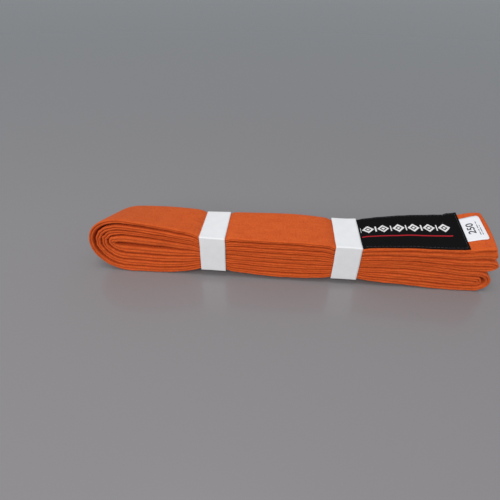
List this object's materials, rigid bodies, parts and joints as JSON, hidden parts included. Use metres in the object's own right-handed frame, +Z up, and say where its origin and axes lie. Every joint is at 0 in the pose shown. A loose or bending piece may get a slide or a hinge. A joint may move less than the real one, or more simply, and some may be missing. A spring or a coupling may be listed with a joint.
{
  "type": "martial arts belt",
  "caption": "Folded cotton martial arts belt held in a flat packet by paper bands, with a woven label and a size tag on its free end.",
  "frame": {"origin": "on the resting surface, under the middle of the packet", "axes": "+X along the packet towards the belt's free ends, +Y towards the packet's back edge, away from the cover's seam, +Z up"},
  "size_m": [0.3134, 0.0412, 0.0462],
  "materials": {
    "orange_cotton": "matt dyed cotton in a close weave",
    "core_canvas": "undyed cotton canvas",
    "orange_thread": "spun sewing thread",
    "black_thread": "spun sewing thread",
    "label_weave": "black polyester label, woven with a plain white and red pattern",
    "tag_satin": "white printed satin tape",
    "band_paper": "smooth white paper"
  },
  "bodies": {
    "folded_belt": {"belt_cover": "orange_cotton", "upper_core_ply": "core_canvas", "lower_core_ply": "core_canvas", "inner_end_stitching": "orange_thread", "label_tucked_end": "label_weave"},
    "free_end": {"free_end_cover": "orange_cotton", "free_end_upper_core_ply": "core_canvas", "free_end_lower_core_ply": "core_canvas", "free_end_stitching": "orange_thread", "woven_label": "label_weave", "label_stitching": "black_thread"},
    "size_tag": {"size_tag": "tag_satin"},
    "left_band": {"left_paper_band": "band_paper"},
    "right_band": {"right_paper_band": "band_paper"}
  },
  "joints": [
    {"name": "left_band_slide", "type": "slide", "parent": "folded_belt", "child": "left_band", "axis": [-1, 0, 0], "range_m": [0, 0.115], "deforming": ["belt_cover", "upper_core_ply", "lower_core_ply"]},
    {"name": "right_band_slide", "type": "slide", "parent": "folded_belt", "child": "right_band", "axis": [1, 0, 0], "range_m": [0, 0.13], "deforming": ["free_end_cover", "free_end_upper_core_ply", "free_end_lower_core_ply", "free_end_stitching", "inner_end_stitching", "woven_label", "label_stitching", "size_tag"]},
    {"name": "free_end_lift", "type": "hinge", "parent": "folded_belt", "child": "free_end", "pos_m": [0.0565, 0, 0.03615], "axis": [0, -1, 0], "range_deg": [0, 90]},
    {"name": "size_tag_lift", "type": "hinge", "parent": "free_end", "child": "size_tag", "pos_m": [0.1341, 0, 0.0444], "axis": [0, -1, 0], "range_deg": [0, 120]}
  ]
}
